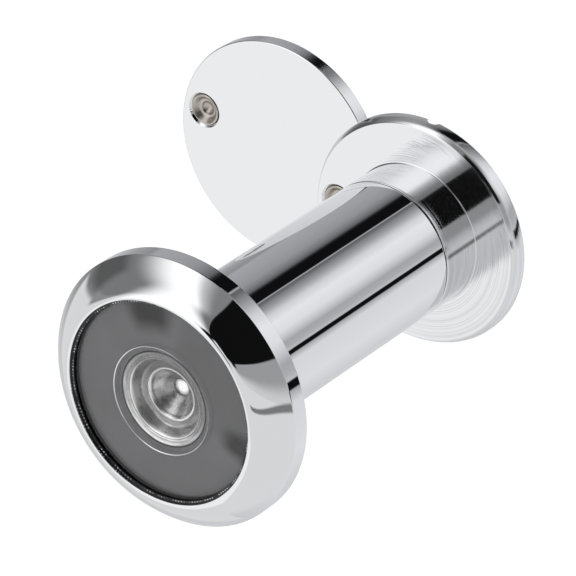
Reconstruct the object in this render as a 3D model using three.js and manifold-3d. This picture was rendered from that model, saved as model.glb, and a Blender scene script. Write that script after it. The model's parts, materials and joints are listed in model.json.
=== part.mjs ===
// A door viewer: a lens head on a threaded tube that clamps a door against a flange,
// with a swing cover riveted to the back of the flange.
//
// Millimetres. The tube runs along +Y, from the street side to the room side, and +Z is up.
// The origin is on the tube's axis, in the plane where the head seats on the door.
// Most pieces are turned, so each is a closed outline of [radius, y] points spun about Y.

import * as THREE from 'three';
import { mergeVertices } from 'three/addons/utils/BufferGeometryUtils.js';
import Module from 'manifold-3d';

const wasm = await Module();
wasm.setup();

// Driving dimensions.
const TUBE_R = 7;               // plain outside of the tube, for a 14 mm hole
const GRIP = 34.8;              // from the head's seat to the flange, fully screwed in
const TUBE_END = 30.1;          // room end of the outer tube
const HEAD_R = 13.05;
const HEAD_RIM = 1.75;          // height of the head's straight rim
const HEAD_DEPTH = 4.3;         // from the seat to the lip round the window
const WINDOW_R = 9.8;           // inside of the lip
const FLANGE_R = 11.4;
const FLANGE_FACE_R = 10.95;    // front edge of the flange
const FLANGE_THICK = 1.6;
const COVER_R = 11.1;
const COVER_THICK = 1.5;
const COVER_GAP = 0.3;          // room for the washer between flange and cover
const HOLE_CIRCLE = 8.7;        // rivets, from the centre of flange and cover
const PIVOT_ANGLE = 175;        // degrees from +X towards +Z, seen from the street
const OPEN_ANGLE = 165.6;       // way the open cover points from its pivot
const KNOB_ANGLE = 167.2;       // way from the cover's centre to its knob
const SLOT_ANGLE = 83.5;
const SLOT_WIDTH = 1.3;
const SLOT_DEPTH = 0.7;

const LENS_BORE = 5.5;          // bore that holds the small lenses
const SHOULDER_R = 4.7;         // inside of the shoulder between the head and that bore
const OBJECTIVE_R = 5.2;
const NECK_R = 4.55;            // neck of the objective lens, in the hole of the mask
const MASK_HOLE_R = 4.64;
const THREAD_BORE = 6;          // the tube's thread, as a plain bore at its root
const THREAD_R = 5.6;           // the inner barrel's thread, as a plain shaft
const INNER_END = 8.6;          // street end of the inner barrel
const INNER_BORE = 4.7;
const EYEPIECE_BORE = 5.6;
const EYEPIECE_SHOULDER = 32.7;
const RUN = 0.15;               // clearance between neighbours

const COARSE = 32;              // sides on small turned pieces
const FINE = 48;                // sides on large turned pieces

// Levels that more than one piece uses.
const HEAD_FRONT = -HEAD_DEPTH;
const LIP_BACK = HEAD_FRONT + 0.25;
const WINDOW_SEAT = -0.7;
const STACK_SEAT = -0.1;
const STACK_END = 6.3;
const RECESS_R = 10.2;          // pocket that holds the window glass
const COLLAR_FRONT = TUBE_END + RUN;
const FLANGE_BACK = GRIP + FLANGE_THICK;
const COVER_FRONT = FLANGE_BACK + COVER_GAP;
const COVER_BACK = COVER_FRONT + COVER_THICK;
const PIVOT = onCircle(HOLE_CIRCLE, PIVOT_ANGLE);
const COVER_CENTRE = PIVOT.clone().add(onCircle(HOLE_CIRCLE, OPEN_ANGLE));
const KNOB = COVER_CENTRE.clone().add(onCircle(HOLE_CIRCLE, KNOB_ANGLE));

const FINISHES = {
  chrome: { color: '#d9dadc', roughness: 0.08, metalness: 1 },
  nickel: { color: '#c9c5bd', roughness: 0.2, metalness: 1 },
  aluminium: { color: '#c4c6c8', roughness: 0.25, metalness: 1 },
  bronze: { color: '#b08a55', roughness: 0.35, metalness: 1 },
  glass: { color: '#f2f5f5', roughness: 0.03, metalness: 0, transparent: true, opacity: 0.35 },
  blackened: { color: '#26272a', roughness: 0.5, metalness: 0 },
  graphite: { color: '#68696c', roughness: 0.6, metalness: 0 },
  rubber: { color: '#141414', roughness: 0.8, metalness: 0 },
};

const group = new THREE.Group();

/** A point in the plane across the tube, at an angle from +X towards +Z. */
function onCircle(radius, degrees) {
  const turn = THREE.MathUtils.degToRad(degrees);
  return new THREE.Vector3(radius * Math.cos(turn), 0, radius * Math.sin(turn));
}

/** Points on an arc that bulges to the left of the way from one [r, y] point to another. */
function arc([r0, y0], [r1, y1], bulge, steps) {
  const length = Math.hypot(r1 - r0, y1 - y0);
  const points = [];
  for (let i = 0; i <= steps; i++) {
    const t = i / steps;
    const lift = 4 * bulge * t * (1 - t) / length;
    points.push([r0 + (r1 - r0) * t - (y1 - y0) * lift, y0 + (y1 - y0) * t + (r1 - r0) * lift]);
  }
  return points;
}

/** A closed outline of [radius, y] points, spun about Y with its faces outwards. */
function turned(outline, sides) {
  const points = outline.map(([r, y]) => new THREE.Vector2(r, y));
  if (THREE.ShapeUtils.area(points) < 0) points.reverse();
  points.push(points[0].clone());
  return new THREE.LatheGeometry(points, sides);
}

/** A half outline that starts and ends on the axis, given from low y to high y. */
function solidTurned(outline, sides) {
  return new THREE.LatheGeometry(outline.map(([r, y]) => new THREE.Vector2(r, y)), sides);
}

/** A flat ring between two radii and two levels. */
function ring(inner, outer, low, high, sides) {
  return turned([[inner, low], [outer, low], [outer, high], [inner, high]], sides);
}

function toSolid(geometry) {
  const bare = geometry.clone();
  bare.deleteAttribute('normal');
  bare.deleteAttribute('uv');
  const merged = mergeVertices(bare, 1e-5);
  return new wasm.Manifold(new wasm.Mesh({
    numProp: 3,
    vertProperties: new Float32Array(merged.attributes.position.array),
    triVerts: new Uint32Array(merged.index.array),
  }));
}

/** A geometry with other geometries cut out of it. */
function cut(geometry, tools) {
  let solid = toSolid(geometry);
  for (const tool of tools) solid = solid.subtract(toSolid(tool));
  const mesh = solid.getMesh();
  const result = new THREE.BufferGeometry();
  result.setAttribute('position', new THREE.BufferAttribute(new Float32Array(mesh.vertProperties), 3));
  result.setIndex(new THREE.BufferAttribute(new Uint32Array(mesh.triVerts), 1));
  result.computeVertexNormals();
  return result;
}

function add(name, finish, geometry, place = new THREE.Vector3()) {
  const mesh = new THREE.Mesh(geometry, new THREE.MeshStandardMaterial(FINISHES[finish]));
  mesh.name = name;
  mesh.position.copy(place);
  group.add(mesh);
}

// ---- Head and outer tube, with the window at its front ----

/** One turned piece: lip, convex bevel, straight rim, seat face and threaded tube. */
function outerBarrel() {
  const bevel = arc([WINDOW_R + 0.6, HEAD_FRONT], [HEAD_R, -HEAD_RIM], -0.22, 5);
  return turned([
    [WINDOW_R, HEAD_FRONT + 0.05], ...bevel, [HEAD_R, -0.15], [HEAD_R - 0.15, 0],
    [TUBE_R, 0], [TUBE_R, TUBE_END - 0.15], [TUBE_R - 0.15, TUBE_END], [THREAD_BORE, TUBE_END],
    [THREAD_BORE, STACK_END + 0.3], [LENS_BORE, STACK_END], [LENS_BORE, STACK_SEAT],
    [SHOULDER_R, STACK_SEAT], [SHOULDER_R, WINDOW_SEAT], [RECESS_R, WINDOW_SEAT],
    [RECESS_R, LIP_BACK], [WINDOW_R, LIP_BACK],
  ], FINE);
}

const sealBack = LIP_BACK + 0.2;
const glassFront = sealBack + 0.02;
const maskFront = glassFront + 0.4;
const objectiveStep = maskFront + 0.35;
const maskBack = WINDOW_SEAT - 0.03;
const pitFloor = -0.62;

/** Flat window with a very shallow dish in the middle of its face. */
function windowGlass(low, high) {
  const dish = arc([0, low + 0.08], [5.18, low], 0.02, 2);
  return solidTurned([...dish, [RECESS_R - RUN, low], [RECESS_R - RUN, high], [0, high]], FINE);
}

/** Grey ring behind the window, with a deeper bore behind its hole that carries the objective lens. */
function lightMask() {
  return turned([
    [MASK_HOLE_R, maskFront], [RECESS_R - RUN, maskFront], [RECESS_R - RUN, maskBack],
    [OBJECTIVE_R + 0.1, maskBack], [OBJECTIVE_R + 0.1, objectiveStep], [MASK_HOLE_R, objectiveStep],
  ], FINE);
}

/** Wide-angle lens: a pit, a bowl and steps in front, a neck in the mask's hole and a boss behind. */
function objectiveLens(back) {
  const bowl = arc([0.78, pitFloor - 0.5], [2.4, maskFront + 1.14], 0.16, 3);
  return solidTurned([
    [0, pitFloor], [0.6, pitFloor], ...bowl, [3.18, maskFront + 1.12], [3.77, maskFront + 0.2],
    [NECK_R, maskFront + 0.03], [NECK_R, objectiveStep + 0.03], [OBJECTIVE_R, objectiveStep + 0.03],
    [OBJECTIVE_R, back], [3.6, back], [3.4, back + 0.5], [0, back + 0.5],
  ], FINE);
}

add('outer_barrel', 'chrome', outerBarrel());
add('window_seal', 'rubber', ring(WINDOW_R - 0.3, RECESS_R - 0.05, LIP_BACK + 0.02, sealBack, FINE));
add('window_glass', 'glass', windowGlass(glassFront, glassFront + 0.35));
add('light_mask', 'graphite', lightMask());
add('objective_lens', 'glass', objectiveLens(maskBack));

// ---- Second lens, dropped into the tube from the room side and locked by a ring ----

/** Round glass with a hollow in each face. */
function hollowLens(low, high, radius, depth) {
  const edge = radius * 0.62;
  const front = arc([0, low + depth], [edge, low], 0.26 * depth, 3);
  const back = arc([edge, high], [0, high - depth], 0.26 * depth, 3);
  return solidTurned([...front, [radius, low], [radius, high], ...back], COARSE);
}

/** Threaded ring with two slots across its room face for a pin spanner. */
function spannerRing(inner, outer, low, high) {
  const slot = new THREE.BoxGeometry(2 * outer + 2, 1.2, 1);
  slot.translate(0, high, 0);
  return cut(ring(inner, outer, low, high, COARSE), [slot]);
}

const smallLensR = LENS_BORE - RUN;
add('front_spacer', 'aluminium', ring(SHOULDER_R, smallLensR, STACK_SEAT + 0.05, 2.6, COARSE));
add('field_stop', 'blackened', ring(3.2, smallLensR, 2.65, 2.85, COARSE));
add('second_lens', 'glass', hollowLens(2.9, 4.9, smallLensR, 0.6));
add('rear_spacer', 'blackened', ring(4.4, smallLensR, 4.95, STACK_END + 0.05, COARSE));
add('objective_ring', 'blackened', spannerRing(4.3, THREAD_BORE - RUN, STACK_END + 0.35, 7.9));

// ---- Inner barrel: threaded tube, collar and flange in one piece ----

function innerOutline() {
  const side = arc([FLANGE_FACE_R, GRIP], [FLANGE_R, GRIP + 0.9], -0.06, 2);
  return [
    [INNER_BORE, INNER_END], [THREAD_R - 0.3, INNER_END], [THREAD_R, INNER_END + 0.3],
    [THREAD_R, COLLAR_FRONT], [TUBE_R - 0.1, COLLAR_FRONT], [TUBE_R, COLLAR_FRONT + 0.1],
    [TUBE_R, GRIP - 0.35], [TUBE_R + 0.35, GRIP], ...side,
    [FLANGE_R, FLANGE_BACK - 0.3], [FLANGE_R - 0.3, FLANGE_BACK],
    [EYEPIECE_BORE, FLANGE_BACK], [EYEPIECE_BORE, EYEPIECE_SHOULDER],
    [INNER_BORE, EYEPIECE_SHOULDER],
  ];
}

/** Cutter for a rivet hole through a plate, countersunk on the street side. */
function rivetHole(front, back, place) {
  const hole = solidTurned([
    [0, front - 1], [1.9, front - 1], [1.9, front], [1.2, front + 0.6], [1.2, back + 1], [0, back + 1],
  ], 24);
  return hole.translate(place.x, 0, place.z);
}

/** Slot across the back of the flange, for turning it with a coin. */
function coinSlot() {
  const slot = new THREE.BoxGeometry(2 * FLANGE_R + 2, 2 * SLOT_DEPTH, SLOT_WIDTH);
  slot.rotateY(-THREE.MathUtils.degToRad(SLOT_ANGLE));
  return slot.translate(0, FLANGE_BACK, 0);
}

const barrelBlank = turned(innerOutline(), FINE);
add('inner_barrel', 'chrome', cut(barrelBlank, [rivetHole(GRIP, FLANGE_BACK, PIVOT), coinSlot()]));

// ---- Eyepiece, from the room side ----

const lensEdge = EYEPIECE_BORE - RUN;

function eyepieceLens(low, high, radius) {
  const front = arc([0, low - 0.7], [4.5, low], -0.17, 4);
  const back = arc([4.5, high], [0, high + 0.6], -0.15, 4);
  return solidTurned([...front, [radius, low], [radius, high], ...back], COARSE);
}

add('eyepiece_washer', 'rubber',
  ring(4.75, lensEdge, EYEPIECE_SHOULDER + 0.02, EYEPIECE_SHOULDER + 0.25, COARSE));
add('eyepiece_lens', 'glass', eyepieceLens(33, 34.4, lensEdge));
add('eyepiece_ring', 'blackened', spannerRing(4.55, lensEdge, 34.5, 35.4));

// ---- Swing cover, riveted to the back of the flange ----

/** Semi-tubular rivet: its head is on the room side and its flared, hollow tail on the street side. */
function rivet(tail, head, headRadius, headHeight) {
  const dome = arc([headRadius, head + 0.25], [0, head + headHeight], -0.12, 3);
  return solidTurned([
    [0, tail + 0.8], [1.1, tail + 0.05], [1.6, tail + 0.05], [0.95, tail + 0.7],
    [0.95, head], [headRadius, head], ...dome,
  ], 24);
}

/** Finger knob turned on its own rivet shank. */
function knob(tail, base) {
  const crown = arc([1.9, base + 3.3], [0, base + 3.9], -0.12, 3);
  return solidTurned([
    [0, tail + 0.8], [1.1, tail + 0.05], [1.6, tail + 0.05], [0.95, tail + 0.7],
    [0.95, base], [2, base], [2, base + 0.4], [1.35, base + 1.1], [1.35, base + 1.9],
    [1.9, base + 2.6], ...crown,
  ], 24);
}

function coverPlate() {
  const blank = solidTurned([
    [0, COVER_FRONT], [COVER_R - 0.1, COVER_FRONT], [COVER_R, COVER_FRONT + 0.1],
    [COVER_R, COVER_BACK - 0.2], [COVER_R - 0.2, COVER_BACK], [0, COVER_BACK],
  ], FINE);
  blank.translate(COVER_CENTRE.x, 0, COVER_CENTRE.z);
  const knobHole = rivetHole(COVER_FRONT, COVER_BACK, KNOB);
  const pivotHole = new THREE.CylinderGeometry(1.2, 1.2, 4, 24);
  pivotHole.translate(PIVOT.x, COVER_FRONT, PIVOT.z);
  return cut(blank, [knobHole, pivotHole]);
}

const washerR = 2.2;
add('pivot_washer', 'bronze', ring(1.1, washerR, FLANGE_BACK + 0.03, COVER_FRONT - 0.03, 24), PIVOT);
add('privacy_cover', 'chrome', coverPlate());
add('spring_washer', 'bronze', ring(1.1, washerR, COVER_BACK + 0.03, COVER_BACK + 0.3, 24), PIVOT);
add('pivot_rivet', 'nickel', rivet(GRIP, COVER_BACK + 0.33, 2.1, 0.75), PIVOT);
add('cover_knob', 'chrome', knob(COVER_FRONT, COVER_BACK + 0.03), KNOB);

export default group;
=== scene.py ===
"""Door viewer with a swing privacy cover: fine meshes, finishes and a studio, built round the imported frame.

Sizes are in millimetres. Turned pieces are outlines of (radius, y) points spun about the Y axis.
"""

import json
import math

import bmesh
import bpy
from mathutils import Matrix, Vector


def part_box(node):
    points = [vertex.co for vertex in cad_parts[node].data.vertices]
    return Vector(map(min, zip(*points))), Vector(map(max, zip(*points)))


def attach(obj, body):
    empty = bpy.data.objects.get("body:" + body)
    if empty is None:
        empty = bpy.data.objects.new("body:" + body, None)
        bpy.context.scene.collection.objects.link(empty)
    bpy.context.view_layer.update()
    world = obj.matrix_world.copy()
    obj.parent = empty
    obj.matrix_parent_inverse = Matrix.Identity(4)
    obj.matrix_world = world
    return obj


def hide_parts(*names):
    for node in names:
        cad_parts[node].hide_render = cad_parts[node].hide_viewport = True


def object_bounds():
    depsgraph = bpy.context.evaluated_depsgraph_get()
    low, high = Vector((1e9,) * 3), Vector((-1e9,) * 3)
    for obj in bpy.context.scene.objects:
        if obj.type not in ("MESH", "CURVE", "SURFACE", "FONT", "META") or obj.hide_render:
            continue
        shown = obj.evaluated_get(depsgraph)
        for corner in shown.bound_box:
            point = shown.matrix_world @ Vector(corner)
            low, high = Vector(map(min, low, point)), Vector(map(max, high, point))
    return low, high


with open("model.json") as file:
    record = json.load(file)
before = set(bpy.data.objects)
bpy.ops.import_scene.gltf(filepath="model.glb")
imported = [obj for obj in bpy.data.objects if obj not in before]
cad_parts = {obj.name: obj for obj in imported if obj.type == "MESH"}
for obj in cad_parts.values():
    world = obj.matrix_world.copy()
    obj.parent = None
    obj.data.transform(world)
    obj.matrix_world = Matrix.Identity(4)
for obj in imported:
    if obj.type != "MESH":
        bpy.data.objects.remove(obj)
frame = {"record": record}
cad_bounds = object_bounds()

bl_info = {
    "name": "Door viewer",
    "version": (1, 0, 0),
    "blender": (4, 5, 0),
    "location": "3D View > Sidebar > Door viewer",
    "description": "Builds a chrome door viewer with its lens stack and swing privacy cover",
    "category": "Object",
}

MM = 0.001
record = frame["record"]
BODY_OF = {node: body for body, nodes in record["behaviour"]["bodies"].items() for node in nodes}
SLOT_OF = {row["node"]: row["material_slot"] for row in record["subparts"]}


def span(node):
    """A turned node's lowest y, highest y and outer radius, in millimetres."""
    low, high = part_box(node)
    return low.y / MM, high.y / MM, (high.x - low.x) / 2 / MM


def centre(node):
    """Where a node's own axis stands, as x and z in millimetres."""
    low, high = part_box(node)
    return (low.x + high.x) / 2 / MM, (low.z + high.z) / 2 / MM


HEAD_FRONT, TUBE_END, HEAD_R = span("outer_barrel")
INNER_START, FLANGE_BACK, FLANGE_R = span("inner_barrel")
COVER_FRONT, COVER_BACK, COVER_R = span("privacy_cover")
GLASS_FRONT, GLASS_BACK, GLASS_R = span("window_glass")
TAIL_FRONT, RIVET_BACK, RIVET_HEAD_R = span("pivot_rivet")
KNOB_TAIL, KNOB_BACK = span("cover_knob")[:2]
PIVOT = centre("pivot_rivet")
KNOB = centre("cover_knob")
COVER = centre("privacy_cover")
FLANGE_FRONT = TAIL_FRONT - 0.05
SHANK_R = 1.0
RIVET_HOLE_R = 1.15
# from the front of the objective lens to the bottom of its pit
PIT_DEPTH = 2.78
# the coin slot's way, in degrees from +X towards +Z
SLOT_TURN = 83.5
CUTTER_SIDES = 64
# two faces that meet at more than this many degrees keep a sharp edge
CREASE = 32
ROWS_PER_TURN = 14


# ---------------------------------------------------------------------------------------------
# Sizes and colours that a user would change
# ---------------------------------------------------------------------------------------------


class ViewerSizes(bpy.types.PropertyGroup):
    """Sizes that the frame doesn't give, in millimetres."""

    tube_radius: bpy.props.FloatProperty(
        name="Tube radius", description="Plain outside of the tube", default=7.0, min=5.0, max=12.0)
    window_radius: bpy.props.FloatProperty(
        name="Window radius", description="Inside of the lip round the window", default=9.8, min=6.0,
        max=12.0)
    rim_height: bpy.props.FloatProperty(
        name="Rim height", description="Straight rim of the head", default=1.75, min=0.5, max=3.5)
    bevel_bulge: bpy.props.FloatProperty(
        name="Bevel bulge", description="How far the head's bevel bows out", default=0.22, min=0.0, max=1.0)
    thread_pitch: bpy.props.FloatProperty(
        name="Thread pitch", description="Travel in one turn", default=1.0, min=0.5, max=2.0)
    thread_depth: bpy.props.FloatProperty(
        name="Thread depth", description="Half of the height from root to crest", default=0.27, min=0.1,
        max=0.5)
    male_radius: bpy.props.FloatProperty(
        name="Inner thread radius", description="Middle of the inner barrel's thread", default=5.52, min=4.0,
        max=7.0)
    female_radius: bpy.props.FloatProperty(
        name="Outer thread radius", description="Middle of the tube's thread", default=5.76, min=4.0,
        max=7.0)
    sides: bpy.props.IntProperty(
        name="Sides", description="Steps round a large turned piece", default=160, min=48, max=256)
    small_sides: bpy.props.IntProperty(
        name="Small sides", description="Steps round a small turned piece", default=96, min=24, max=192)


class ViewerColours(bpy.types.PropertyGroup):
    """Colours of the finishes, as sRGB hex values."""

    chrome: bpy.props.StringProperty(name="Chrome", description="Chrome plate", default="E6E7E9")
    nickel: bpy.props.StringProperty(name="Nickel", description="Nickel-plated rivets", default="C2BCB5")
    bronze: bpy.props.StringProperty(name="Bronze", description="Phosphor bronze washers", default="C79A5E")
    aluminium: bpy.props.StringProperty(name="Aluminium", description="Turned spacer", default="D5D6D8")
    mask: bpy.props.StringProperty(name="Mask", description="Graphite-grey light mask", default="737375")
    black: bpy.props.StringProperty(name="Black", description="Matt black inner rings", default="1B1B1D")
    rubber: bpy.props.StringProperty(name="Rubber", description="Seals", default="121213")
    floor: bpy.props.StringProperty(name="Floor", description="Studio floor", default="FAFAFA")


def sizes():
    """The sizes as the scene holds them."""
    return bpy.context.scene.viewer_sizes


def colours():
    """The colours as the scene holds them."""
    return bpy.context.scene.viewer_colours


# ---------------------------------------------------------------------------------------------
# Outlines
# ---------------------------------------------------------------------------------------------


def arc(start, end, bulge, steps):
    """Points of a shallow arc from start to end that bows to the left of its way by bulge."""
    length = math.hypot(end[0] - start[0], end[1] - start[1])
    points = []
    for i in range(steps + 1):
        t = i / steps
        lift = 4 * bulge * t * (1 - t) / length
        points.append((start[0] + (end[0] - start[0]) * t - (end[1] - start[1]) * lift,
                       start[1] + (end[1] - start[1]) * t + (end[0] - start[0]) * lift))
    return points


def softened(corners):
    """A chain of (radius, y, fillet) corners, each inner one rounded to its fillet.

    A point is added on each side of a fillet, so that flat faces stay flat when shaded smooth.
    """
    steps = 5
    points = [tuple(corners[0][:2])]
    for before, corner, after in zip(corners, corners[1:], corners[2:]):
        here = Vector(corner[:2])
        fillet = corner[2] if len(corner) > 2 else 0
        if not fillet:
            points.append(tuple(here))
            continue
        back = Vector(before[:2]) - here
        ahead = Vector(after[:2]) - here
        reach = min(fillet, back.length * 0.45, ahead.length * 0.45)
        start = here + back.normalized() * reach
        end = here + ahead.normalized() * reach
        points.append(tuple(start + back.normalized() * reach * 0.08))
        for i in range(steps + 1):
            t = i / steps
            points.append(tuple(start * (1 - t) ** 2 + here * 2 * t * (1 - t) + end * t * t))
        points.append(tuple(end + ahead.normalized() * reach * 0.08))
    points.append(tuple(corners[-1][:2]))
    return points


def rolled(start, corner, end, steps):
    """Points of a smooth curve from start to end that leaves and arrives in line with a corner."""
    points = []
    for i in range(1, steps + 1):
        t = i / steps
        where = Vector(start) * (1 - t) ** 2 + Vector(corner) * 2 * t * (1 - t) + Vector(end) * t * t
        points.append(tuple(where))
    return points


def threaded(radius, low, high, runout):
    """Points along a screw thread: its middle radius, y, and a height that runs out at both ends.

    The ends run out inwards on a shaft, with runout -1, and outwards in a bore, with runout 1.
    """
    pitch, depth = sizes().thread_pitch, sizes().thread_depth
    rows = max(2, round(abs(high - low) / pitch * ROWS_PER_TURN))
    points = []
    for i in range(rows + 1):
        y = low + (high - low) * i / rows
        full = min(1.0, min(abs(y - low), abs(high - y)) / pitch)
        points.append((radius + runout * depth * (1 - full), y, depth * full))
    return points


def thread_wave(y, turn):
    """The thread's height from -1 to 1, with flat crests and roots and a right-hand lead."""
    return max(-1.0, min(1.0, 1.5 * math.cos(2 * math.pi * (y / sizes().thread_pitch + turn))))


# ---------------------------------------------------------------------------------------------
# Meshes
# ---------------------------------------------------------------------------------------------


def made_object(name, work):
    """A mesh object in the scene, made from a bmesh that is then freed."""
    mesh = bpy.data.meshes.new(name)
    work.to_mesh(mesh)
    work.free()
    piece = bpy.data.objects.new(name, mesh)
    bpy.context.scene.collection.objects.link(piece)
    return piece


def spun(name, outline, sides, closed=True, place=(0, 0)):
    """A mesh object spun from an outline about a line along Y through place, an x and z."""
    work = bmesh.new()
    rings = []
    for i in range(sides):
        turn = i / sides
        direction = Vector((math.cos(2 * math.pi * turn), 0, math.sin(2 * math.pi * turn)))
        column = []
        for point in outline:
            radius = point[0] + (point[2] * thread_wave(point[1], turn) if len(point) > 2 else 0)
            where = Vector((place[0], point[1], place[1])) + direction * radius
            column.append(work.verts.new(where * MM))
        rings.append(column)
    steps = len(outline) if closed else len(outline) - 1
    for i in range(sides):
        one, two = rings[i], rings[(i + 1) % sides]
        for j in range(steps):
            k = (j + 1) % len(outline)
            work.faces.new((one[j], one[k], two[k], two[j]))
    bmesh.ops.remove_doubles(work, verts=work.verts, dist=1e-8)
    bmesh.ops.dissolve_degenerate(work, edges=work.edges, dist=1e-8)
    bmesh.ops.recalc_face_normals(work, faces=work.faces)
    return made_object(name, work)


def cut_away(piece, cutters):
    """Cuts other objects out of a piece and removes them."""
    for cutter in cutters:
        change = piece.modifiers.new("cut", "BOOLEAN")
        change.operation = "DIFFERENCE"
        change.solver = "EXACT"
        change.object = cutter
    done = piece.evaluated_get(bpy.context.evaluated_depsgraph_get())
    mesh = bpy.data.meshes.new_from_object(done)
    piece.modifiers.clear()
    old = piece.data
    piece.data = mesh
    bpy.data.meshes.remove(old)
    for cutter in cutters:
        bpy.data.meshes.remove(cutter.data)


def finished(piece, node, *slots):
    """Shades a piece, gives it its materials, and lets it stand for its CAD node and ride on that body."""
    mesh = piece.data
    mesh.name = piece.name
    mesh.shade_smooth()
    mesh.set_sharp_from_angle(angle=math.radians(CREASE))
    mesh.materials.clear()
    for name in slots:
        mesh.materials.append(finish(name))
    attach(piece, BODY_OF[node])
    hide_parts(node)


def off_axis(point, axis=(0, 0)):
    """A point's distance from a line along Y through axis, an x and z."""
    return math.hypot(point.x - axis[0], point.z - axis[1])


def repaint(piece, index, chosen):
    """Gives a piece's material of this index to each face whose middle, in millimetres, is chosen."""
    for face in piece.data.polygons:
        if chosen(face.center / MM):
            face.material_index = index


def flat_ring(low, high, inner, outer, fillet):
    """Closed outline of a plain ring with rounded edges."""
    middle = (inner + outer) / 2
    return softened([(middle, low), (outer, low, fillet), (outer, high, fillet),
                     (inner, high, fillet), (inner, low, fillet), (middle, low)])[:-1]


# ---------------------------------------------------------------------------------------------
# Nodes
# ---------------------------------------------------------------------------------------------


def linear(text):
    """An sRGB hex value as a linear colour."""
    parts = [int(text[i:i + 2], 16) / 255 for i in (0, 2, 4)]
    return (*(p / 12.92 if p <= 0.04045 else ((p + 0.055) / 1.055) ** 2.4 for p in parts), 1.0)


def grey_tone(grey, cool=0):
    """A grey, made a little bluer by cool."""
    return linear(f"{grey:02X}{grey:02X}{min(255, grey + cool):02X}")


def add(tree, kind, inputs=None, **settings):
    """A new node with its settings. An input's value is a number, a colour, or a socket to link from."""
    made = tree.nodes.new(kind)
    for name, value in settings.items():
        setattr(made, name, value)
    for name, value in (inputs or {}).items():
        if isinstance(value, bpy.types.NodeSocket):
            tree.links.new(value, made.inputs[name])
        else:
            made.inputs[name].default_value = value
    return made


def math_node(tree, operation, *values):
    """The result of one Math node."""
    return add(tree, "ShaderNodeMath", dict(enumerate(values)), operation=operation).outputs[0]


def noise(tree, vector, scale, detail, **inputs):
    """The value of a noise texture, from 0 to 1. Scale counts features to a unit of the vector."""
    inputs.update({"Vector": vector, "Scale": scale, "Detail": detail})
    return add(tree, "ShaderNodeTexNoise", inputs).outputs["Fac"]


def carried(tree, value, low, high, to_low=0.0, to_high=1.0, soft=False):
    """A value carried from one range to another and held at its ends, with a smooth step where it is soft."""
    inputs = {"Value": value, "From Min": low, "From Max": high, "To Min": to_low, "To Max": to_high}
    kind = "SMOOTHSTEP" if soft else "LINEAR"
    return add(tree, "ShaderNodeMapRange", inputs, interpolation_type=kind).outputs["Result"]


def edge(tree, value, span_of, blur, lean=None):
    """1 between two values, falling softly to 0 over blur outside them.

    The lean, where there is one, stands for the value at the high end.
    """
    low, high = span_of
    rise = carried(tree, value, float(low - blur), float(low), soft=True)
    fall = carried(tree, lean or value, float(high), float(high + blur), 1.0, 0.0, soft=True)
    return math_node(tree, "MULTIPLY", rise, fall)


def scaled(tree, value, factor):
    """Three numbers, a colour or a vector, times a factor."""
    return add(tree, "ShaderNodeVectorMath", {0: value, "Scale": factor}, operation="SCALE").outputs[0]


def blend(tree, share, first, second, **settings):
    """Two colours mixed by the share of the second one."""
    inputs = {0: share, 6: first, 7: second}
    return add(tree, "ShaderNodeMix", inputs, data_type="RGBA", **settings).outputs[2]


def bumped(tree, height, strength, distance, **inputs):
    """A normal bumped by a height, whose distance is in metres."""
    inputs.update({"Height": height, "Strength": strength, "Distance": distance})
    return add(tree, "ShaderNodeBump", inputs).outputs["Normal"]


def grey_ramp(tree, value, unit, low, high, stops, cool=0):
    """A ramp of greys along a value. The stops and both ends are given in a unit of the value."""
    reach = carried(tree, value, low * unit, high * unit)
    ramp = add(tree, "ShaderNodeValToRGB", {"Fac": reach})
    slots = ramp.color_ramp.elements
    while len(slots) < len(stops):
        slots.new(0.5)
    for slot, (at, grey) in zip(slots, stops):
        slot.position = (at - low) / (high - low)
        slot.color = grey_tone(grey, cool)
    return ramp.outputs["Color"]


def own_point(tree):
    """A point's place on its object, in metres."""
    return add(tree, "ShaderNodeTexCoord").outputs["Object"]


def around_axis(tree):
    """A point's distance from the tube's axis in metres, and the cosine and sine of its place round it."""
    parts = add(tree, "ShaderNodeSeparateXYZ", {"Vector": own_point(tree)})
    flat = add(tree, "ShaderNodeCombineXYZ", {"X": parts.outputs["X"], "Y": parts.outputs["Z"]}).outputs[0]
    radius = add(tree, "ShaderNodeVectorMath", {0: flat}, operation="LENGTH").outputs["Value"]
    place = add(tree, "ShaderNodeVectorMath", {0: flat}, operation="NORMALIZE").outputs[0]
    return radius, place


def turn_of(tree, place):
    """The angle of a place round the axis, in radians."""
    parts = add(tree, "ShaderNodeSeparateXYZ", {"Vector": place})
    return math_node(tree, "ARCTAN2", parts.outputs["Y"], parts.outputs["X"])


def facing_way(tree, place, way):
    """How far a place round the axis lies towards a way, an x and z: 1 at it, and -1 opposite."""
    inputs = {0: place, 1: (*way, 0.0)}
    return add(tree, "ShaderNodeVectorMath", inputs, operation="DOT_PRODUCT").outputs["Value"]


# ---------------------------------------------------------------------------------------------
# Materials
# ---------------------------------------------------------------------------------------------


def new_material(name):
    """An empty node material and its tree."""
    material = bpy.data.materials.new(name)
    material.use_nodes = True
    material.node_tree.nodes.clear()
    return material, material.node_tree


def surface(tree, shader):
    """Joins a shader to the material's output."""
    add(tree, "ShaderNodeOutputMaterial", {"Surface": shader.outputs[0]})


def principled(tree, inputs):
    """Ends a material with one Principled shader."""
    surface(tree, add(tree, "ShaderNodeBsdfPrincipled", inputs))


def polished_chrome():
    """Bright chrome plate over buffed brass: mirror clear, with a faint orange peel and hairline swirls."""
    material, tree = new_material("polished_chrome_plate")
    point = own_point(tree)
    peel = noise(tree, point, 260.0, 2.0)
    haze = noise(tree, point, 420.0, 4.0)
    principled(tree, {
        "Base Color": linear(colours().chrome), "Metallic": 1.0,
        "Roughness": carried(tree, haze, 0.35, 0.75, 0.015, 0.035),
        "Normal": bumped(tree, peel, 0.02, 0.0002)})
    return material


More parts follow.
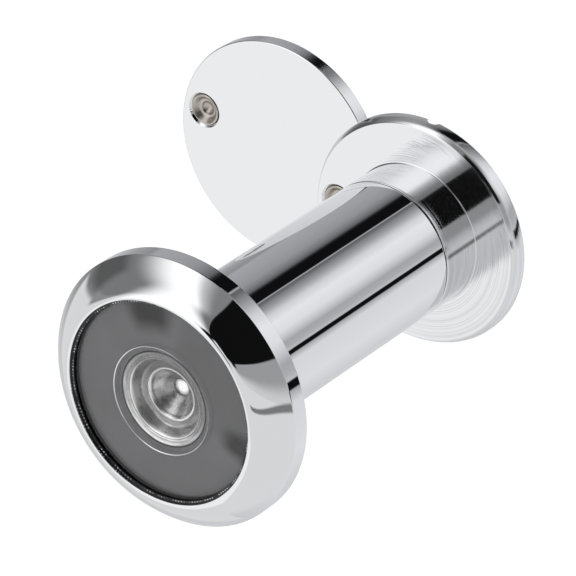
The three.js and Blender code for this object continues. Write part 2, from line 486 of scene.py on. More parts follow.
def turned_chrome():
    """Chrome plate over lathe marks: rings round the axis comb the edge of each reflection into strands."""
    material, tree = new_material("turned_chrome_plate")
    parts = add(tree, "ShaderNodeSeparateXYZ", {"Vector": own_point(tree)})
    radius, place = around_axis(tree)
    ring = add(tree, "ShaderNodeCombineXYZ", {"X": radius, "Y": parts.outputs["Y"]}).outputs[0]
    # tool marks about 0.15 mm apart, and a slower chatter about 1 mm apart
    marks = noise(tree, ring, 6500.0, 2.0, Roughness=0.6)
    chatter = noise(tree, ring, 900.0, 1.0)
    slow = bumped(tree, chatter, 0.45, 0.00003)
    # the marks are a little darker low on one side
    drag = carried(tree, marks, 0.38, 0.58, 0.17, 0.0)
    darker_side = carried(tree, facing_way(tree, place, (0.75, -0.66)), 0.3, 0.95, 0.05, 1.0, soft=True)
    mark_tone = math_node(tree, "SUBTRACT", 1.0, math_node(tree, "MULTIPLY", drag, darker_side))
    principled(tree, {
        "Base Color": scaled(tree, linear(colours().chrome)[:3], mark_tone), "Metallic": 1.0,
        "Roughness": carried(tree, marks, 0.35, 0.65, 0.04, 0.1),
        "Normal": bumped(tree, marks, 0.5, 0.00002, Normal=slow)})
    return material


def crown_glass():
    """Polished crown glass: clear, with a clean reflection on each face and a faint smear."""
    material, tree = new_material("polished_crown_glass")
    smear = noise(tree, own_point(tree), 300.0, 3.0)
    principled(tree, {
        "Base Color": linear("FCFDFD"), "Roughness": carried(tree, smear, 0.4, 0.8, 0.0, 0.015), "IOR": 1.52,
        "Transmission Weight": 1.0})
    return material


def float_glass():
    """Flat bloomed window glass: see-through, with a faint mirror image that grows at a glancing view."""
    material, tree = new_material("polished_float_glass")
    smear = noise(tree, own_point(tree), 300.0, 3.0)
    clear = add(tree, "ShaderNodeBsdfTransparent", {"Color": linear("FCFCFC")})
    shine = add(tree, "ShaderNodeBsdfGlossy", {
        "Color": linear("FFFFFF"), "Roughness": carried(tree, smear, 0.4, 0.8, 0.0, 0.03)})
    facing = add(tree, "ShaderNodeLayerWeight", {"Blend": 0.5}).outputs["Facing"]
    share = math_node(tree, "MULTIPLY_ADD", math_node(tree, "POWER", facing, 5.0), 0.97, 0.026)
    surface(tree, add(tree, "ShaderNodeMixShader", {0: share, 1: clear.outputs[0], 2: shine.outputs[0]}))
    return material


# Painted light on the objective lens: rings of painted highlight and shade, as (distance from its axis in mm,
# grey).
LENS_PAINTED_LIGHT_RINGS = (
    (0.0, 255), (0.68, 255), (0.78, 110), (0.95, 150), (1.5, 165), (1.9, 185), (2.15, 200), (2.27, 130),
    (2.32, 255), (2.53, 255), (2.6, 118), (2.9, 138), (3.12, 150), (3.2, 205), (3.3, 160), (3.6, 175),
    (3.69, 255), (3.83, 255), (3.9, 120), (4.0, 205), (4.15, 170), (4.38, 215), (4.48, 160), (4.55, 100))


def lens_with_painted_light():
    """Moulded clear lens, shaded as metal whose colour holds painted light: pale and dim rings of painted
    highlight and shade stand in its steps, with flow marks.
    """
    material, tree = new_material("moulded_silvered_lens")
    radius, place = around_axis(tree)
    tones = grey_ramp(tree, radius, MM, 0.0, 5.2, LENS_PAINTED_LIGHT_RINGS)
    # flow marks, drawn out round the axis
    wide = math_node(tree, "MULTIPLY", radius, 1900.0)
    wound = add(tree, "ShaderNodeSeparateXYZ", {"Vector": scaled(tree, place, 1.3)})
    rows = add(tree, "ShaderNodeCombineXYZ", {"X": wide, "Y": wound.outputs["X"], "Z": wound.outputs["Y"]})
    flow = noise(tree, rows.outputs[0], 1.6, 1.0)
    streak = carried(tree, flow, 0.36, 0.64, 0.66, 1.12)
    # painted light and shade: the rings are brightest low on one side, and dim round the rest of the ring
    painted_light_side = carried(tree, facing_way(tree, place, (-0.42, -0.91)), -0.5, 0.95, 0.4, 1.4, soft=True)
    share = math_node(tree, "MULTIPLY", painted_light_side, streak)
    # painted highlights: a soft glow in the bowl, opposite, a bright line on the bowl's crest, and the bottom
    # of the pit at full brightness
    reach = math_node(tree, "DIVIDE", radius, MM)
    painted_glow = math_node(tree, "MULTIPLY", edge(tree, facing_way(tree, place, (-0.87, 0.5)), (0.97, 2), 0.5),
                     edge(tree, reach, (1.75, 2.15), 0.55))
    crest = math_node(tree, "MULTIPLY", edge(tree, reach, (2.36, 2.5), 0.03),
                      math_node(tree, "MULTIPLY", painted_light_side, 1.7))
    bottom = math_node(tree, "LESS_THAN", radius, 0.74 * MM)
    for more in (math_node(tree, "MULTIPLY", painted_glow, 1.5), crest, bottom):
        share = math_node(tree, "MAXIMUM", share, more)
    principled(tree, {
        "Base Color": scaled(tree, tones, share), "Metallic": 1.0,
        "Roughness": carried(tree, flow, 0.3, 0.7, 0.2, 0.34),
        "Coat Weight": 1.0, "Coat Roughness": 0.02, "Coat IOR": 1.5,
        "Normal": bumped(tree, flow, 0.15, 0.00002)})
    return material


def window_gasket():
    """Black gasket under the lip, with a milled edge and painted highlights: a row of pale dots stands in for
    the light its small teeth catch.
    """
    material, tree = new_material("milled_black_gasket")
    teeth, row_radius = 190.0, 9.6 * MM
    radius, place = around_axis(tree)
    # painted highlights: one pale dot to each tooth, in a narrow row, some left out at random
    tooth = math_node(tree, "SINE", math_node(tree, "MULTIPLY", turn_of(tree, place), teeth))
    across = math_node(tree, "ABSOLUTE", math_node(tree, "SUBTRACT", radius, row_radius))
    row = carried(tree, across, 0.00003, 0.00008, 1.0, 0.0)
    kept = carried(tree, noise(tree, place, 9.0, 3.0), 0.42, 0.58)
    dot = carried(tree, tooth, 0.1, 0.7)
    painted_glints = math_node(tree, "MULTIPLY", math_node(tree, "MULTIPLY", dot, row), kept)
    tone = blend(tree, painted_glints, linear("121214"), linear("F4F4F6"))
    principled(tree, {"Base Color": tone, "Roughness": 0.45})
    return material


# Soft dark patches of painted shade on the mask, as (degrees round the axis, softness, start in mm from the
# axis, depth).
MASK_SHADES = (((92, 106), 15, 8.0, 1.0), ((-17, -12), 11, 8.0, 0.95), ((-9, 66), 14, 6.5, 0.2))


def graphite_mask():
    """Moulded graphite-grey plastic: an even satin face, with soft patches of painted shade."""
    material, tree = new_material("moulded_graphite_plastic")
    radius, place = around_axis(tree)
    drift = noise(tree, place, 1.5, 1.0)
    shade = carried(tree, drift, 0.3, 0.7, 0.94, 1.06)
    turn = math_node(tree, "DEGREES", turn_of(tree, place))
    reach = math_node(tree, "DIVIDE", radius, MM)
    for side, blur, start, depth in MASK_SHADES:
        painted_shade_patch = math_node(tree, "MULTIPLY", edge(tree, turn, side, blur), edge(tree, reach, (start, 12), 2.2))
        shade = math_node(tree, "MULTIPLY", shade, math_node(tree, "MULTIPLY_ADD", painted_shade_patch, -depth, 1.0))
    principled(tree, {
        "Base Color": scaled(tree, linear(colours().mask)[:3], shade), "Specular IOR Level": 0.1,
        "Roughness": carried(tree, drift, 0.3, 0.7, 0.3, 0.42)})
    return material


def room_light():
    """The bottom of the lens, clear and polished, with a painted highlight: it glows as a spot for the light
    of the room seen through the lens.
    """
    material, tree = new_material("polished_glass_lit_from_the_room")
    radius, place = around_axis(tree)
    reach = math_node(tree, "MULTIPLY_ADD", noise(tree, place, 1.2, 1.0), -0.00022, radius)
    # painted highlight: the glow is strongest in the middle of the spot and fades at its edge
    glow = carried(tree, reach, 0.34 * MM, 0.52 * MM, 0.66, 0.16, soft=True)
    principled(tree, {
        "Base Color": linear("C8C8CA"), "Roughness": 0.1, "Emission Color": linear("FFFFFF"),
        "Emission Strength": glow})
    return material


def groove_silver():
    """The fine groove in the window's face, filled with bright metal, with painted light and shade: brighter
    towards one side of the ring, darker opposite.
    """
    material, tree = new_material("inlaid_silver_groove")
    place = around_axis(tree)[1]
    # painted light and shade round the ring
    shade = carried(tree, facing_way(tree, place, (-0.85, -0.53)), -0.9, 0.5, 0.3, 0.95)
    principled(tree, {
        "Base Color": scaled(tree, linear("F6F6F8")[:3], shade), "Metallic": 1.0,
        "Roughness": carried(tree, noise(tree, place, 14.0, 2.0), 0.0, 1.0, 0.1, 0.2)})
    return material


def ground_glass_edge():
    """The lens edge, ground and painted black: dull, with pale specks of painted highlight for chips from the
    grinding wheel that glint.
    """
    material, tree = new_material("ground_glass_edge")
    # painted highlights: scattered pale specks
    painted_sparkle = carried(tree, noise(tree, own_point(tree), 4200.0, 1.0), 0.66, 0.72)
    tone = blend(tree, painted_sparkle, linear("1A1A1C"), linear("E8E8EA"))
    principled(tree, {"Base Color": tone, "Roughness": 0.55})
    return material


def plain(name, tone, roughness, metallic=0.0, lift=0.05):
    """A dull finish whose tone, gloss and surface vary with a grain about 1 mm across."""
    material, tree = new_material(name)
    speck = noise(tree, own_point(tree), 900.0, 4.0)
    shade = carried(tree, speck, 0.3, 0.7, 1 - lift, 1 + lift)
    principled(tree, {
        "Base Color": scaled(tree, linear(tone)[:3], shade), "Metallic": metallic,
        "Roughness": carried(tree, speck, 0.3, 0.7, roughness * 0.85, roughness * 1.15),
        "Normal": bumped(tree, speck, 0.2, 0.00003)})
    return material


def finish(name):
    """A material by its slot's name, made the first time it is asked for."""
    makers = {
        "chrome_plate": polished_chrome,
        "chrome_turned": turned_chrome,
        "optical_glass": crown_glass,
        "glass_edge": ground_glass_edge,
        "window_pane": float_glass,
        "window_gasket": window_gasket,
        "groove_silver": groove_silver,
        "stepped_lens": lens_with_painted_light,
        "room_light": room_light,
        "nickel_rivet": lambda: plain("nickel_plated_steel", colours().nickel, 0.34, 1.0, lift=0.1),
        "spring_bronze": lambda: plain("stamped_phosphor_bronze", colours().bronze, 0.3, 1.0),
        "turned_aluminium": lambda: plain("bright_turned_aluminium", colours().aluminium, 0.18, 1.0),
        "graphite_mask": graphite_mask,
        "blackened_ring": lambda: plain("moulded_matt_black_plastic", colours().black, 0.55),
        "seal_rubber": lambda: plain("moulded_nitrile_rubber", colours().rubber, 0.7),
    }
    kept = bpy.context.scene.get("viewer_finishes", {})
    if name not in kept:
        bpy.context.scene["viewer_finishes"] = {**kept, name: makers[name]().name}
    return bpy.data.materials[bpy.context.scene["viewer_finishes"][name]]


# ---------------------------------------------------------------------------------------------
# Operators
# ---------------------------------------------------------------------------------------------


class VIEWER_OT_outer_barrel(bpy.types.Operator):
    """Turn the head and the tube in one piece, with the thread cut inside the tube"""

    bl_idname = "viewer.outer_barrel"
    bl_label = "Outer barrel"

    def execute(self, context):
        s = sizes()
        lip_back = HEAD_FRONT + 0.25
        glass_seat = -0.7
        lens_bore, shoulder = 5.5, 4.7
        stack_end = 6.3
        root = s.female_radius + s.thread_depth
        lip_edge = s.window_radius + 0.65
        bevel = arc((lip_edge, HEAD_FRONT + 0.16), (HEAD_R, -s.rim_height), -s.bevel_bulge, 20)
        lip = softened([(s.window_radius, lip_back), (s.window_radius, HEAD_FRONT, 0.05),
                        (s.window_radius + 0.12, HEAD_FRONT)])
        lip += rolled(lip[-1], (s.window_radius + 0.34, HEAD_FRONT), bevel[0], 10)
        tube = softened([
            bevel[-2], (HEAD_R, -s.rim_height, 0.07), (HEAD_R, 0, 0.14), (s.tube_radius, 0, 0.12),
            (s.tube_radius, TUBE_END, 0.1), (s.female_radius + 0.5, TUBE_END, 0.08), (root, TUBE_END - 0.35)])
        bore = softened([
            (root, stack_end + 0.5), (s.female_radius + 0.2, stack_end + 0.3), (lens_bore, stack_end, 0.05),
            (lens_bore, -0.1, 0.03), (shoulder, -0.1, 0.05), (shoulder, glass_seat, 0.08),
            (GLASS_R + 0.15, glass_seat, 0.05), (GLASS_R + 0.15, lip_back, 0.03),
            (s.window_radius, lip_back)])
        thread = threaded(s.female_radius, TUBE_END - 0.4, stack_end + 0.55, 1)
        outline = lip[:-1] + bevel[:-2] + tube + thread + bore[:-1]
        finished(spun("outer_barrel_fine", outline, s.sides), "outer_barrel", "chrome_plate")
        return {"FINISHED"}


def ground(piece, radius):
    """Gives the outer edge of a glass its ground finish."""
    repaint(piece, 1, lambda middle: off_axis(middle) > radius - 0.02)


class VIEWER_OT_window(bpy.types.Operator):
    """Fit the front glass with its seal and the grey mask behind it"""

    bl_idname = "viewer.window"
    bl_label = "Window"

    def execute(self, context):
        self.glass()
        s = sizes()
        low, high, outer = span("window_seal")
        seal = spun("window_seal_fine", flat_ring(low, high, s.window_radius - 0.3, outer, 0.05), s.sides)
        finished(seal, "window_seal", "window_gasket")
        low, high, outer = span("light_mask")
        hole, bore, band = 4.64, 5.3, 9.4
        outline = softened([(7, low), (band - 0.04, low)]) + softened([
            (band, low + 0.04), (outer, low + 0.04, 0.05), (outer, high, 0.05), (bore, high, 0.05),
            (bore, low + 0.35, 0.03), (hole, low + 0.35, 0.03), (hole, low, 0.05), (7, low)])
        mask = spun("light_mask_fine", outline[:-1], s.sides)
        finished(mask, "light_mask", "graphite_mask", "seal_rubber")
        # the mask's outer band is black rubber: a seal under the lip, and also painted shade of the gap there
        repaint(mask, 1, lambda middle: off_axis(middle) > band)
        return {"FINISHED"}

    def glass(self):
        """The window, with a fine groove round its street face."""
        groove, half, depth = 5.18, 0.05, 0.04
        outline = [(0, GLASS_FRONT), (groove - 2 * half, GLASS_FRONT), (groove - half, GLASS_FRONT)]
        outline += [(groove + half * math.cos(a), GLASS_FRONT + depth * math.sin(a))
                    for a in (math.pi * (1 - i / 8) for i in range(1, 8))]
        outline += softened([(groove + half, GLASS_FRONT), (GLASS_R, GLASS_FRONT, 0.08),
                             (GLASS_R, GLASS_BACK, 0.08), (0, GLASS_BACK)])
        pane = spun("window_glass_fine", outline, sizes().sides, closed=False)
        finished(pane, "window_glass", "window_pane", "glass_edge", "groove_silver")
        ground(pane, GLASS_R)
        inside, street_side = 0.98 * half, GLASS_FRONT + 0.1
        repaint(pane, 2, lambda middle: abs(off_axis(middle) - groove) < inside and middle.y < street_side)


def hollow_lens(low, high, radius, depth):
    """Half outline of a round glass with a spherical hollow in each face."""
    flat = radius * 0.62
    front = arc((0, low + depth), (flat, low), 0.26 * depth, 20)
    back = arc((flat, high), (0, high - depth), 0.26 * depth, 20)
    rim = softened([front[-1], (radius, low, 0.1), (radius, high, 0.1), back[0]])
    return front[:-1] + rim + back[1:]


def stepped_lens(low, high, radius):
    """Half outline of the objective: a pit and a bowl inside a stepped hollow, on a neck in the mask."""
    pit_floor, boss = low + PIT_DEPTH, high - 0.5
    pit = softened([(0, pit_floor), (0.7, pit_floor, 0.03), (0.8, pit_floor - 0.2)])
    bowl = arc((0.8, pit_floor - 0.2), (2.36, low + 1.16), 0.16, 20)
    steps = softened([
        bowl[-1], (2.43, low + 1.1, 0.05), (2.5, low + 1.13, 0.04), (3.18, low + 1.1, 0.1),
        (3.72, low + 0.2, 0.1), (3.8, low + 0.16, 0.05), (4.5, low, 0.08), (4.55, low + 0.04, 0.03),
        (4.55, low + 0.35, 0.03), (radius, low + 0.35, 0.08), (radius, boss, 0.08), (3.6, boss, 0.1),
        (3.4, high, 0.1), (0, high)])
    return pit[:-1] + bowl[:-1] + steps


def slot_cutter(back):
    """Box cutter for the spanner slot across a ring whose back face stands at y = back."""
    length, width, depth = 14, 1.2, 0.5
    size = Vector((length, 2 * depth, width)) * MM
    work = bmesh.new()
    bmesh.ops.create_cube(work, size=1.0)
    work.transform(Matrix.Translation(Vector((0, back, 0)) * MM) @ Matrix.Diagonal((*size, 1)))
    return made_object("slot", work)


class VIEWER_OT_lens_stack(bpy.types.Operator):
    """Stack the small lenses, their spacers and the field stop, and lock them with the slotted ring"""

    bl_idname = "viewer.lens_stack"
    bl_label = "Lens stack"

    def execute(self, context):
        s = sizes()
        low, high, outer = span("objective_lens")
        piece = spun("objective_lens_fine", stepped_lens(low, high, outer), s.sides, closed=False)
        finished(piece, "objective_lens", "stepped_lens", "glass_edge", "room_light")
        ground(piece, outer)
        pit_floor = low + PIT_DEPTH
        # the pit floor gets the glowing spot of painted highlight
        repaint(piece, 2, lambda middle: off_axis(middle) < 0.68 and abs(middle.y - pit_floor) < 0.02)
        low, high, outer = span("second_lens")
        piece = spun("second_lens_fine", hollow_lens(low, high, outer, 0.6), s.small_sides, closed=False)
        finished(piece, "second_lens", "optical_glass", "glass_edge")
        ground(piece, outer)
        for node, inner in (("front_spacer", 4.7), ("field_stop", 3.2), ("rear_spacer", 4.4)):
            low, high, outer = span(node)
            piece = spun(node + "_fine", flat_ring(low, high, inner, outer, 0.06), s.small_sides)
            finished(piece, node, SLOT_OF[node])
        low, high, outer = span("objective_ring")
        inner, grip = 4.3, s.female_radius - 0.24
        middle = (inner + grip) / 2
        face = softened([(middle, low), (grip - 0.3, low, 0.05), (grip, low + 0.15)])
        back = softened([(grip, high - 0.15), (grip - 0.3, high, 0.05), (inner, high, 0.1), (inner, low, 0.1),
                         (middle, low)])
        outline = face[:-1] + threaded(grip, low + 0.15, high - 0.15, -1) + back[1:-1]
        piece = spun("objective_ring_fine", outline, s.small_sides)
        cut_away(piece, [slot_cutter(high)])
        finished(piece, "objective_ring", "blackened_ring")
        return {"FINISHED"}


def rivet_cutter(front, back, place):
    """Cutter for a rivet hole through a plate, countersunk on the street side."""
    outline = [(0, front - 0.5), (1.8, front - 0.5), (1.8, front), (1.74, front + 0.06),
               (RIVET_HOLE_R, front + 0.6), (RIVET_HOLE_R, back + 0.5), (0, back + 0.5)]
    return spun("cutter", outline, CUTTER_SIDES, closed=False, place=place)


def coin_cutter():
    """Round-bottomed cutter for the slot across the back of the flange, along SLOT_TURN."""
    half, depth, reach = 0.65, 0.7, FLANGE_R + 1
    profile = [(half, 1.0), (half, half - depth)]
    profile += [(half * math.cos(a), half - depth - half * math.sin(a))
                for a in (math.pi * i / 16 for i in range(1, 16))]
    profile += [(-half, half - depth), (-half, 1.0)]
    work = bmesh.new()
    ends = [[work.verts.new(Vector((x, FLANGE_BACK + y, z)) * MM) for z, y in profile]
            for x in (-reach, reach)]
    work.faces.new(ends[0])
    work.faces.new(ends[1][::-1])
    for i in range(len(profile)):
        k = (i + 1) % len(profile)
        work.faces.new((ends[0][k], ends[0][i], ends[1][i], ends[1][k]))
    bmesh.ops.recalc_face_normals(work, faces=work.faces)
    work.transform(Matrix.Rotation(-math.radians(SLOT_TURN), 4, "Y"))
    return made_object("cutter", work)


class VIEWER_OT_inner_barrel(bpy.types.Operator):
    """Turn the inner barrel: screw thread, collar and flange, with its coin slot and rivet hole"""

    bl_idname = "viewer.inner_barrel"
    bl_label = "Inner barrel"

    def execute(self, context):
        s = sizes()
        collar = TUBE_END + 0.15
        bore, shoulder, recess = 4.7, 32.7, 5.6
        relief = s.male_radius - 0.3
        start = softened([(bore, INNER_START), (s.male_radius - 0.35, INNER_START, 0.05),
                          (s.male_radius, INNER_START + 0.3)])
        side = arc((FLANGE_R - 0.45, FLANGE_FRONT), (FLANGE_R, FLANGE_FRONT + 0.9), -0.06, 6)
        body = softened([
            (relief, collar - 0.6), (relief, collar, 0.05), (s.tube_radius, collar, 0.1),
            (s.tube_radius, FLANGE_FRONT, 0.12), (*side[0], 0.05), side[1]])
        back = softened([
            side[-2], side[-1], (FLANGE_R, FLANGE_BACK, 0.25), (recess, FLANGE_BACK, 0.1),
            (recess, shoulder, 0.05), (bore, shoulder, 0.05), (bore, INNER_START)])
        thread = threaded(s.male_radius, INNER_START + 0.3, collar - 0.9, -1)
        outline = start[:-1] + thread + body[:-1] + side[1:-2] + back[:-1]
        piece = spun("inner_barrel_fine", outline, s.sides)
        cut_away(piece, [rivet_cutter(FLANGE_FRONT, FLANGE_BACK, PIVOT), coin_cutter()])
        finished(piece, "inner_barrel", "chrome_turned")
        return {"FINISHED"}


class VIEWER_OT_eyepiece(bpy.types.Operator):
    """Fit the eyepiece lens between its rubber washer and its slotted ring"""

    bl_idname = "viewer.eyepiece"
    bl_label = "Eyepiece"

    def execute(self, context):
        s = sizes()
        low, high, outer = span("eyepiece_lens")
        clear_radius, front_bow, back_bow = 4.5, 0.7, 0.6
        front = arc((0, low), (clear_radius, low + front_bow), -0.17, 24)
        back = arc((clear_radius, high - back_bow), (0, high), -0.15, 24)
        rim = softened([front[-1], (outer, low + front_bow, 0.1), (outer, high - back_bow, 0.1), back[0]])
        lens = spun("eyepiece_lens_fine", front[:-1] + rim + back[1:], s.small_sides, closed=False)
        finished(lens, "eyepiece_lens", "optical_glass")
        low, high, outer = span("eyepiece_washer")
        washer = spun("eyepiece_washer_fine", flat_ring(low, high, 4.75, outer, 0.05), s.small_sides)
        finished(washer, "eyepiece_washer", "seal_rubber")
        low, high, outer = span("eyepiece_ring")
        ring = spun("eyepiece_ring_fine", flat_ring(low, high, 4.55, outer, 0.12), s.small_sides)
        cut_away(ring, [slot_cutter(high)])
        finished(ring, "eyepiece_ring", "blackened_ring")
        return {"FINISHED"}


def flared_tail(front, neck):
    """The street end of a rivet: a thin rolled lip round a stepped hollow that ends in a drilled point."""
    return softened([(0, front + 1.1), (0.6, front + 0.7, 0.04), (0.7, front + 0.56, 0.06),
                     (1.0, front + 0.48, 0.1), (1.3, front + 0.1, 0.12), (1.46, front, 0.08),
                     (1.58, front + 0.1, 0.06), (SHANK_R, front + 0.68, 0.2), (SHANK_R, neck)])


class VIEWER_OT_cover(bpy.types.Operator):
    """Make the swing cover and rivet its knob to it"""

    bl_idname = "viewer.cover"
    bl_label = "Privacy cover"

    def execute(self, context):
        s = sizes()
        plate = softened([(0, COVER_FRONT), (COVER_R, COVER_FRONT, 0.12), (COVER_R, COVER_BACK, 0.22),
                          (0, COVER_BACK)])
        cover = spun("privacy_cover_fine", plate, s.sides, closed=False, place=COVER)
        hole = [(0, COVER_FRONT - 0.5), (RIVET_HOLE_R, COVER_FRONT - 0.5),
                (RIVET_HOLE_R, COVER_BACK + 0.5), (0, COVER_BACK + 0.5)]
        pivot_hole = spun("cutter", hole, CUTTER_SIDES, closed=False, place=PIVOT)
        cut_away(cover, [rivet_cutter(COVER_FRONT, COVER_BACK, KNOB), pivot_hole])
        finished(cover, "privacy_cover", "chrome_plate", "chrome_turned")
        repaint(cover, 1, lambda middle: off_axis(middle, COVER) > COVER_R - 0.01)

        base = COVER_BACK + 0.03
        grip = softened([
            (SHANK_R, COVER_BACK - 0.3), (SHANK_R, base), (2.0, base, 0.08), (2.0, base + 0.5, 0.15),
            (1.35, base + 1.1, 0.5), (1.35, base + 1.9, 0.5), (1.9, base + 2.7, 0.3),
            (1.75, KNOB_BACK - 0.25, 0.4), (0, KNOB_BACK)])
        outline = flared_tail(KNOB_TAIL, COVER_BACK - 0.4) + grip
        knob = spun("cover_knob_fine", outline, s.small_sides, closed=False, place=KNOB)
        finished(knob, "cover_knob", "chrome_plate", "nickel_rivet")
        repaint(knob, 1, lambda middle: middle.y < COVER_BACK)
        return {"FINISHED"}


class VIEWER_OT_pivot(bpy.types.Operator):
    """Set the pivot rivet through its flat washer and its wave washer"""

    bl_idname = "viewer.pivot"
    bl_label = "Pivot"

    def execute(self, context):
        s = sizes()
        under_head = COVER_BACK + 0.33
        head = softened([
            (SHANK_R, under_head - 0.3), (SHANK_R, under_head), (RIVET_HEAD_R, under_head, 0.05),
            (RIVET_HEAD_R, under_head + 0.25, 0.12), (1.5, RIVET_BACK - 0.12, 0.6), (0, RIVET_BACK)])
        outline = flared_tail(TAIL_FRONT, under_head - 0.4) + head
        rivet = spun("pivot_rivet_fine", outline, s.small_sides, closed=False, place=PIVOT)
        finished(rivet, "pivot_rivet", "nickel_rivet")
        low, high, outer = span("pivot_washer")
        inner = 1.1
        outline = flat_ring(low, high, inner, outer, 0.05)
        flat = spun("pivot_washer_fine", outline, s.small_sides, place=PIVOT)
        finished(flat, "pivot_washer", "spring_bronze")
        low, high, outer = span("spring_washer")
        outline = flat_ring(low + 0.06, high - 0.06, inner, outer, 0.04)
        wave = spun("spring_washer_fine", outline, s.small_sides, place=PIVOT)
        waves, rise = 3, 0.055 * MM
        for vertex in wave.data.vertices:
            turn = math.atan2(vertex.co.z / MM - PIVOT[1], vertex.co.x / MM - PIVOT[0])
            vertex.co.y += rise * math.sin(waves * turn)
        finished(wave, "spring_washer", "spring_bronze")
        return {"FINISHED"}


# Tones round the tube's axis, as (degrees from +X towards +Z, grey seen on chrome).
TENT_WALLS = (
    (-100, 195), (-60, 214), (-18, 209), (-8.4, 160), (-7.2, 14), (-1.4, 14), (-0.4, 186), (5, 168),
    (13, 160), (20, 190), (30, 216), (46, 224), (58, 203), (65, 168), (70, 145), (75, 125), (79, 100),
    (81.6, 95), (82, 235), (82.6, 235), (83, 14), (99, 14), (102, 47), (104, 90), (110, 118), (120, 143),
    (135, 152), (157, 158), (163, 136), (180, 150), (210, 190), (260, 195))

# Cards of the tent, each laid over the ones before it: name, from and to round the axis, from and to in
# degrees from +Y, softness of both pairs of edges, how far the edges lean with the seam, grey.
TENT_CARDS = (
    ("street side", (-400, 600), (96, 300), (1, 10), 0.0, 209),
    ("soft box", (104, 206), (98, 160), (10, 8), 0.0, 255),
    ("dim wall", (150, 174), (70, 126), (34, 16), 0.0, 116),
    ("dim corner", (158, 172), (70, 100), (10, 12), 0.0, 85),
    ("left wall", (184, 600), (80, 133), (4, 6), 0.0, 208),
    ("dark streak", (178, 183), (110, 126), (4, 6), 0.0, 135),
    ("left sweep", (214, 256), (116, 142), (8, 8), 0.0, 231),
    ("lamp side", (-10, 24), (98, 300), (1, 8), 0.0, 197),
    ("shade left of the opening", (8, 24), (98, 300), (16, 8), 0.0, 148),
    ("seam", (-14.5, -11), (104, 156), (3, 4), 1.0, 118),
    ("shade right of the opening", (60, 82), (98, 300), (21, 8), 0.0, 122),
    ("shade under the soft box", (60, 92), (152, 300), (26, 12), 0.0, 108),
    ("opening", (24, 72), (106, 300), (2, 3), -0.6, 14),
    ("seam round the end of the tent", (15, 236), (167, 171), (4, 2), 0.0, 14),
)


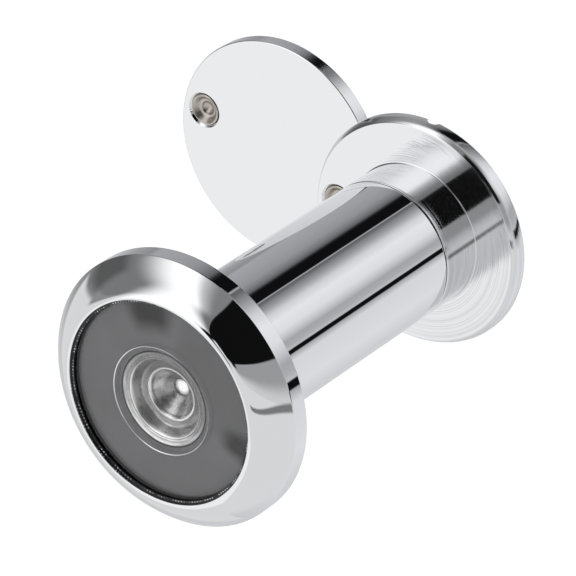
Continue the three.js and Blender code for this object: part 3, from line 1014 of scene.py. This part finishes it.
class VIEWER_OT_stage(bpy.types.Operator):
    """Lay the pale floor, light the studio and set the camera"""

    bl_idname = "viewer.stage"
    bl_label = "Studio"

    def execute(self, context):
        scene = context.scene
        scene.view_settings.view_transform = "Standard"
        self.lay_floor()
        self.light(scene)
        self.set_camera(scene)
        return {"FINISHED"}

    def lay_floor(self):
        work = bmesh.new()
        bmesh.ops.create_circle(work, cap_ends=True, segments=96, radius=6.0)
        floor = made_object("floor", work)
        floor.location.z = cad_bounds[0].z - 0.06
        floor.visible_glossy = False
        floor.visible_transmission = False
        material, tree = new_material("pale_paper")
        principled(tree, {
            "Base Color": linear(colours().floor), "Roughness": 0.9, "Emission Color": linear("FFFFFF"),
            "Emission Strength": 0.6})
        floor.data.materials.append(material)

    def light(self, scene):
        """A light tent: pale and dark cards stand round the tube's axis, and the camera sees only white."""
        world = bpy.data.worlds.new("light_tent")
        world.use_nodes = True
        scene.world = world
        tree = world.node_tree
        tree.nodes.clear()
        way = add(tree, "ShaderNodeTexCoord").outputs["Generated"]
        parts = add(tree, "ShaderNodeSeparateXYZ", {"Vector": way})
        turn = math_node(tree, "ARCTAN2", parts.outputs["Z"], parts.outputs["X"])
        # degrees from +X towards +Z, counted from first to last, and degrees from +Y
        first, last = -100.0, 260.0
        around = math_node(tree, "WRAP", math_node(tree, "DEGREES", turn), last, first)
        along = math_node(tree, "DEGREES", math_node(tree, "ARCCOSINE", parts.outputs["Y"]))
        tone = grey_ramp(tree, around, 1.0, first, last, TENT_WALLS, cool=2)
        # a leaning edge is straight up to bend_start, and has bent by its share of most_bend at its reach
        bend_start, bend_reach, bend_power, most_bend = 105.0, 50.0, 2.6, 27.0
        reach_in = math_node(tree, "DIVIDE", math_node(tree, "SUBTRACT", along, bend_start), bend_reach)
        bend = math_node(tree, "POWER", math_node(tree, "MAXIMUM", reach_in, 0.0), bend_power)
        for name, side, reach, blur, lean, grey in TENT_CARDS:
            leaning = math_node(tree, "MULTIPLY_ADD", bend, most_bend * lean, around) if lean else around
            low_side = leaning if lean > 0 else around
            card = math_node(tree, "MULTIPLY", edge(tree, low_side, side, blur[0], leaning),
                             edge(tree, along, reach, blur[1]))
            tone = blend(tree, card, tone, grey_tone(grey), label=name)
        tent = add(tree, "ShaderNodeBackground", {"Color": tone, "Strength": 1.3})
        sweep = add(tree, "ShaderNodeBackground", {"Color": linear("FFFFFF"), "Strength": 1.0})
        seen = add(tree, "ShaderNodeLightPath").outputs["Is Camera Ray"]
        mixed = add(tree, "ShaderNodeMixShader", {0: seen, 1: tent.outputs[0], 2: sweep.outputs[0]})
        add(tree, "ShaderNodeOutputWorld", {"Surface": mixed.outputs[0]})

    def set_camera(self, scene):
        azimuth, elevation, roll = (math.radians(a) for a in (36.55, 28.08, -0.97))
        aim = Vector((-4.365, 21.01, -1.03)) * MM
        distance, focal = 464.6 * MM, 317.8
        back = Vector((math.sin(azimuth) * math.cos(elevation), -math.cos(azimuth) * math.cos(elevation),
                       math.sin(elevation)))
        data = bpy.data.cameras.new("camera")
        data.lens = focal
        data.clip_start, data.clip_end = 0.01, 50
        camera = bpy.data.objects.new("camera", data)
        camera.rotation_mode = "QUATERNION"
        turn = (-back).to_track_quat("-Z", "Y").to_matrix() @ Matrix.Rotation(roll, 3, "Z")
        camera.rotation_quaternion = turn.to_quaternion()
        camera.location = aim + back * distance
        scene.collection.objects.link(camera)
        scene.camera = camera


class VIEWER_PT_panel(bpy.types.Panel):
    """Lists the steps that build the door viewer"""

    bl_idname = "VIEWER_PT_panel"
    bl_label = "Door viewer"
    bl_space_type = "VIEW_3D"
    bl_region_type = "UI"
    bl_category = "Door viewer"

    def draw(self, context):
        for step in STEPS:
            self.layout.operator(step.bl_idname, text=step.bl_label)
        for group in (context.scene.viewer_sizes, context.scene.viewer_colours):
            box = self.layout.box()
            for name in group.__annotations__:
                box.prop(group, name)


STEPS = (
    VIEWER_OT_stage,
    VIEWER_OT_outer_barrel,
    VIEWER_OT_window,
    VIEWER_OT_lens_stack,
    VIEWER_OT_inner_barrel,
    VIEWER_OT_eyepiece,
    VIEWER_OT_cover,
    VIEWER_OT_pivot,
)
CLASSES = (ViewerSizes, ViewerColours, *STEPS, VIEWER_PT_panel)


def register():
    for item in CLASSES:
        bpy.utils.register_class(item)
    bpy.types.Scene.viewer_sizes = bpy.props.PointerProperty(type=ViewerSizes)
    bpy.types.Scene.viewer_colours = bpy.props.PointerProperty(type=ViewerColours)


def unregister():
    del bpy.types.Scene.viewer_colours
    del bpy.types.Scene.viewer_sizes
    for item in reversed(CLASSES):
        bpy.utils.unregister_class(item)


def main():
    """Builds everything in order."""
    register()
    for step in STEPS:
        group, name = step.bl_idname.split(".")
        getattr(getattr(bpy.ops, group), name)()


if __name__ == "__main__":
    main()
